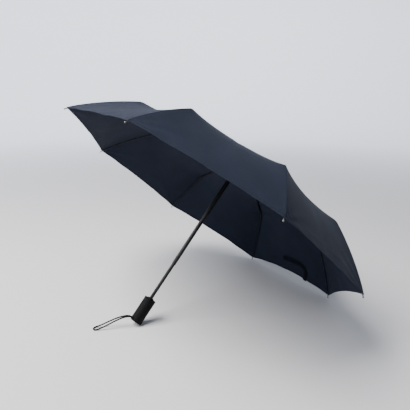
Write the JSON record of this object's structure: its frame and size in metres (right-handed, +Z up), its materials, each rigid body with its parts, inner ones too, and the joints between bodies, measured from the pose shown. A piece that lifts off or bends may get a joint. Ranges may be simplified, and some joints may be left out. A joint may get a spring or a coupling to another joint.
{
  "type": "folding umbrella",
  "caption": "Compact folding umbrella, open: jointed ribs under a scalloped fabric canopy, telescoping shaft, cylindrical handle and wrist loop.",
  "frame": {"origin": "on the surface it lies on, below the middle of the object's box", "axes": "+Z up, +Y along the line of the two rib tips that touch the surface, the shaft leans towards +X"},
  "size_m": [0.7005, 0.9068, 0.6075],
  "materials": {
    "grip_plastic": "moulded, fine matte texture",
    "black_steel": "black lacquered steel",
    "black_rod": "black spring rod",
    "bright_steel": "plain steel wire",
    "tip_metal": "nickel plated",
    "grey_plastic": "dark grey bush",
    "black_plastic": "moulded black",
    "canopy_fabric": "navy plain-woven polyester pongee",
    "cord": "braided black cord"
  },
  "bodies": {
    "handle": {"handle_shell": "grip_plastic", "handle_core": "grip_plastic", "handle_end_cap": "grip_plastic", "handle_pin": "bright_steel", "strap_eyelet": "grip_plastic", "bottom_tube": "black_steel", "bottom_glide": "black_plastic", "wrist_strap": "cord"},
    "middle_shaft": {"middle_tube": "black_steel", "middle_glide": "black_plastic", "middle_collar": "grey_plastic"},
    "head": {"top_tube": "black_steel", "top_collar": "grey_plastic", "crown": "black_plastic", "crown_wire": "bright_steel", "top_cap": "black_plastic", "canopy": "canopy_fabric", "closure_strap": "canopy_fabric"},
    "runner": {"runner": "black_plastic", "runner_snap_ring": "bright_steel"},
    "upper_arm_1": {"upper_rib_1": "black_steel"},
    "strut_1": {"stretcher_1": "black_steel"},
    "middle_arm_1": {"middle_rib_1": "black_steel"},
    "outer_arm_1": {"outer_rib_1": "black_rod", "rib_tip_1": "tip_metal"},
    "upper_arm_2": {"upper_rib_2": "black_steel"},
    "strut_2": {"stretcher_2": "black_steel"},
    "middle_arm_2": {"middle_rib_2": "black_steel"},
    "outer_arm_2": {"outer_rib_2": "black_rod", "rib_tip_2": "tip_metal"},
    "upper_arm_3": {"upper_rib_3": "black_steel"},
    "strut_3": {"stretcher_3": "black_steel"},
    "middle_arm_3": {"middle_rib_3": "black_steel"},
    "outer_arm_3": {"outer_rib_3": "black_rod", "rib_tip_3": "tip_metal"},
    "upper_arm_4": {"upper_rib_4": "black_steel"},
    "strut_4": {"stretcher_4": "black_steel"},
    "middle_arm_4": {"middle_rib_4": "black_steel"},
    "outer_arm_4": {"outer_rib_4": "black_rod", "rib_tip_4": "tip_metal"},
    "upper_arm_5": {"upper_rib_5": "black_steel"},
    "strut_5": {"stretcher_5": "black_steel"},
    "middle_arm_5": {"middle_rib_5": "black_steel"},
    "outer_arm_5": {"outer_rib_5": "black_rod", "rib_tip_5": "tip_metal"},
    "upper_arm_6": {"upper_rib_6": "black_steel"},
    "strut_6": {"stretcher_6": "black_steel"},
    "middle_arm_6": {"middle_rib_6": "black_steel"},
    "outer_arm_6": {"outer_rib_6": "black_rod", "rib_tip_6": "tip_metal"},
    "upper_arm_7": {"upper_rib_7": "black_steel"},
    "strut_7": {"stretcher_7": "black_steel"},
    "middle_arm_7": {"middle_rib_7": "black_steel"},
    "outer_arm_7": {"outer_rib_7": "black_rod", "rib_tip_7": "tip_metal"},
    "upper_arm_8": {"upper_rib_8": "black_steel"},
    "strut_8": {"stretcher_8": "black_steel"},
    "middle_arm_8": {"middle_rib_8": "black_steel"},
    "outer_arm_8": {"outer_rib_8": "black_rod", "rib_tip_8": "tip_metal"}
  },
  "joints": [
    {"name": "middle_tube_slide", "type": "slide", "parent": "handle", "child": "middle_shaft", "axis": [-0.6495, 0, -0.7603], "range_m": [0, 0.113]},
    {"name": "top_tube_slide", "type": "slide", "parent": "middle_shaft", "child": "head", "axis": [-0.6495, 0, -0.7603], "range_m": [0, 0.155]},
    {"name": "fold", "type": "slide", "parent": "head", "child": "runner", "axis": [-0.6495, 0, -0.7603], "range_m": [0, 0.12418], "deforming": ["canopy", "closure_strap", "runner_snap_ring"]},
    {"name": "crown_hinge_1", "type": "hinge", "parent": "head", "child": "upper_arm_1", "pos_m": [0.11506, 0.00364, 0.44342], "axis": [-0.291, -0.9239, 0.2486], "range_deg": [0, 80.55]},
    {"name": "stretcher_hinge_1", "type": "hinge", "parent": "upper_arm_1", "child": "strut_1", "pos_m": [0.04958, 0.03507, 0.4836], "axis": [0.291, 0.9239, -0.2486], "range_deg": [0, 145.31]},
    {"name": "inner_knuckle_1", "type": "hinge", "parent": "upper_arm_1", "child": "middle_arm_1", "pos_m": [-0.01323, 0.06585, 0.52448], "axis": [0.291, 0.9239, -0.2486], "range_deg": [0, 178.85]},
    {"name": "outer_knuckle_1", "type": "hinge", "parent": "middle_arm_1", "child": "outer_arm_1", "pos_m": [-0.14472, 0.12774, 0.6006], "axis": [-0.291, -0.9239, 0.2486], "range_deg": [0, 146.05]},
    {"name": "crown_hinge_2", "type": "hinge", "parent": "head", "child": "upper_arm_2", "pos_m": [0.11506, -0.00364, 0.44342], "axis": [0.291, -0.9239, -0.2486], "range_deg": [0, 80.55]},
    {"name": "stretcher_hinge_2", "type": "hinge", "parent": "upper_arm_2", "child": "strut_2", "pos_m": [0.04958, -0.03507, 0.4836], "axis": [-0.291, 0.9239, 0.2486], "range_deg": [0, 145.31]},
    {"name": "inner_knuckle_2", "type": "hinge", "parent": "upper_arm_2", "child": "middle_arm_2", "pos_m": [-0.01323, -0.06585, 0.52448], "axis": [-0.291, 0.9239, 0.2486], "range_deg": [0, 178.85]},
    {"name": "outer_knuckle_2", "type": "hinge", "parent": "middle_arm_2", "child": "outer_arm_2", "pos_m": [-0.14472, -0.12774, 0.6006], "axis": [0.291, -0.9239, -0.2486], "range_deg": [0, 146.05]},
    {"name": "crown_hinge_3", "type": "hinge", "parent": "head", "child": "upper_arm_3", "pos_m": [0.11897, -0.00878, 0.44008], "axis": [0.7024, -0.3827, -0.6001], "range_deg": [0, 80.55]},
    {"name": "stretcher_hinge_3", "type": "hinge", "parent": "upper_arm_3", "child": "strut_3", "pos_m": [0.08729, -0.08466, 0.45139], "axis": [-0.7024, 0.3827, 0.6001], "range_deg": [0, 145.31]},
    {"name": "inner_knuckle_3", "type": "hinge", "parent": "upper_arm_3", "child": "middle_arm_3", "pos_m": [0.05757, -0.15897, 0.464], "axis": [-0.7024, 0.3827, 0.6001], "range_deg": [0, 178.85]},
    {"name": "outer_knuckle_3", "type": "hinge", "parent": "middle_arm_3", "child": "outer_arm_3", "pos_m": [-0.00737, -0.30838, 0.48326], "axis": [0.7024, -0.3827, -0.6001], "range_deg": [0, 146.05]},
    {"name": "crown_hinge_4", "type": "hinge", "parent": "head", "child": "upper_arm_4", "pos_m": [0.12449, -0.00878, 0.43536], "axis": [0.7024, 0.3827, -0.6001], "range_deg": [0, 80.55]},
    {"name": "stretcher_hinge_4", "type": "hinge", "parent": "upper_arm_4", "child": "strut_4", "pos_m": [0.14061, -0.08466, 0.40583], "axis": [-0.7024, -0.3827, 0.6001], "range_deg": [0, 145.31]},
    {"name": "inner_knuckle_4", "type": "hinge", "parent": "upper_arm_4", "child": "middle_arm_4", "pos_m": [0.1577, -0.15897, 0.37845], "axis": [-0.7024, -0.3827, 0.6001], "range_deg": [0, 178.85]},
    {"name": "outer_knuckle_4", "type": "hinge", "parent": "middle_arm_4", "child": "outer_arm_4", "pos_m": [0.18687, -0.30838, 0.31732], "axis": [0.7024, 0.3827, -0.6001], "range_deg": [0, 146.05]},
    {"name": "crown_hinge_5", "type": "hinge", "parent": "head", "child": "upper_arm_5", "pos_m": [0.1284, -0.00364, 0.43202], "axis": [0.291, 0.9239, -0.2486], "range_deg": [0, 80.55]},
    {"name": "stretcher_hinge_5", "type": "hinge", "parent": "upper_arm_5", "child": "strut_5", "pos_m": [0.17831, -0.03507, 0.37362], "axis": [-0.291, -0.9239, 0.2486], "range_deg": [0, 145.31]},
    {"name": "inner_knuckle_5", "type": "hinge", "parent": "upper_arm_5", "child": "middle_arm_5", "pos_m": [0.22851, -0.06585, 0.31796], "axis": [-0.291, -0.9239, 0.2486], "range_deg": [0, 178.85]},
    {"name": "outer_knuckle_5", "type": "hinge", "parent": "middle_arm_5", "child": "outer_arm_5", "pos_m": [0.32422, -0.12774, 0.19998], "axis": [0.291, 0.9239, -0.2486], "range_deg": [0, 146.05]},
    {"name": "crown_hinge_6", "type": "hinge", "parent": "head", "child": "upper_arm_6", "pos_m": [0.1284, 0.00364, 0.43202], "axis": [-0.291, 0.9239, 0.2486], "range_deg": [0, 80.55]},
    {"name": "stretcher_hinge_6", "type": "hinge", "parent": "upper_arm_6", "child": "strut_6", "pos_m": [0.17831, 0.03507, 0.37362], "axis": [0.291, -0.9239, -0.2486], "range_deg": [0, 145.31]},
    {"name": "inner_knuckle_6", "type": "hinge", "parent": "upper_arm_6", "child": "middle_arm_6", "pos_m": [0.22851, 0.06585, 0.31796], "axis": [0.291, -0.9239, -0.2486], "range_deg": [0, 178.85]},
    {"name": "outer_knuckle_6", "type": "hinge", "parent": "middle_arm_6", "child": "outer_arm_6", "pos_m": [0.32422, 0.12774, 0.19998], "axis": [-0.291, 0.9239, 0.2486], "range_deg": [0, 146.05]},
    {"name": "crown_hinge_7", "type": "hinge", "parent": "head", "child": "upper_arm_7", "pos_m": [0.12449, 0.00878, 0.43536], "axis": [-0.7024, 0.3827, 0.6001], "range_deg": [0, 80.55]},
    {"name": "stretcher_hinge_7", "type": "hinge", "parent": "upper_arm_7", "child": "strut_7", "pos_m": [0.14061, 0.08466, 0.40583], "axis": [0.7024, -0.3827, -0.6001], "range_deg": [0, 145.31]},
    {"name": "inner_knuckle_7", "type": "hinge", "parent": "upper_arm_7", "child": "middle_arm_7", "pos_m": [0.1577, 0.15897, 0.37845], "axis": [0.7024, -0.3827, -0.6001], "range_deg": [0, 178.85]},
    {"name": "outer_knuckle_7", "type": "hinge", "parent": "middle_arm_7", "child": "outer_arm_7", "pos_m": [0.18687, 0.30838, 0.31732], "axis": [-0.7024, 0.3827, 0.6001], "range_deg": [0, 146.05]},
    {"name": "crown_hinge_8", "type": "hinge", "parent": "head", "child": "upper_arm_8", "pos_m": [0.11897, 0.00878, 0.44008], "axis": [-0.7024, -0.3827, 0.6001], "range_deg": [0, 80.55]},
    {"name": "stretcher_hinge_8", "type": "hinge", "parent": "upper_arm_8", "child": "strut_8", "pos_m": [0.08729, 0.08466, 0.45139], "axis": [0.7024, 0.3827, -0.6001], "range_deg": [0, 145.31]},
    {"name": "inner_knuckle_8", "type": "hinge", "parent": "upper_arm_8", "child": "middle_arm_8", "pos_m": [0.05757, 0.15897, 0.464], "axis": [0.7024, 0.3827, -0.6001], "range_deg": [0, 178.85]},
    {"name": "outer_knuckle_8", "type": "hinge", "parent": "middle_arm_8", "child": "outer_arm_8", "pos_m": [-0.00737, 0.30838, 0.48326], "axis": [-0.7024, -0.3827, 0.6001], "range_deg": [0, 146.05]}
  ],
  "couplings": [
    {"joint": "crown_hinge_1", "follows": "fold", "rad_per_m": 11.314},
    {"joint": "stretcher_hinge_1", "follows": "fold", "rad_per_m": 20.416},
    {"joint": "inner_knuckle_1", "follows": "fold", "rad_per_m": 25.13},
    {"joint": "outer_knuckle_1", "follows": "fold", "rad_per_m": 20.52},
    {"joint": "crown_hinge_2", "follows": "fold", "rad_per_m": 11.314},
    {"joint": "stretcher_hinge_2", "follows": "fold", "rad_per_m": 20.416},
    {"joint": "inner_knuckle_2", "follows": "fold", "rad_per_m": 25.13},
    {"joint": "outer_knuckle_2", "follows": "fold", "rad_per_m": 20.52},
    {"joint": "crown_hinge_3", "follows": "fold", "rad_per_m": 11.314},
    {"joint": "stretcher_hinge_3", "follows": "fold", "rad_per_m": 20.416},
    {"joint": "inner_knuckle_3", "follows": "fold", "rad_per_m": 25.13},
    {"joint": "outer_knuckle_3", "follows": "fold", "rad_per_m": 20.52},
    {"joint": "crown_hinge_4", "follows": "fold", "rad_per_m": 11.314},
    {"joint": "stretcher_hinge_4", "follows": "fold", "rad_per_m": 20.416},
    {"joint": "inner_knuckle_4", "follows": "fold", "rad_per_m": 25.13},
    {"joint": "outer_knuckle_4", "follows": "fold", "rad_per_m": 20.52},
    {"joint": "crown_hinge_5", "follows": "fold", "rad_per_m": 11.314},
    {"joint": "stretcher_hinge_5", "follows": "fold", "rad_per_m": 20.416},
    {"joint": "inner_knuckle_5", "follows": "fold", "rad_per_m": 25.13},
    {"joint": "outer_knuckle_5", "follows": "fold", "rad_per_m": 20.52},
    {"joint": "crown_hinge_6", "follows": "fold", "rad_per_m": 11.314},
    {"joint": "stretcher_hinge_6", "follows": "fold", "rad_per_m": 20.416},
    {"joint": "inner_knuckle_6", "follows": "fold", "rad_per_m": 25.13},
    {"joint": "outer_knuckle_6", "follows": "fold", "rad_per_m": 20.52},
    {"joint": "crown_hinge_7", "follows": "fold", "rad_per_m": 11.314},
    {"joint": "stretcher_hinge_7", "follows": "fold", "rad_per_m": 20.416},
    {"joint": "inner_knuckle_7", "follows": "fold", "rad_per_m": 25.13},
    {"joint": "outer_knuckle_7", "follows": "fold", "rad_per_m": 20.52},
    {"joint": "crown_hinge_8", "follows": "fold", "rad_per_m": 11.314},
    {"joint": "stretcher_hinge_8", "follows": "fold", "rad_per_m": 20.416},
    {"joint": "inner_knuckle_8", "follows": "fold", "rad_per_m": 25.13},
    {"joint": "outer_knuckle_8", "follows": "fold", "rad_per_m": 20.52}
  ]
}
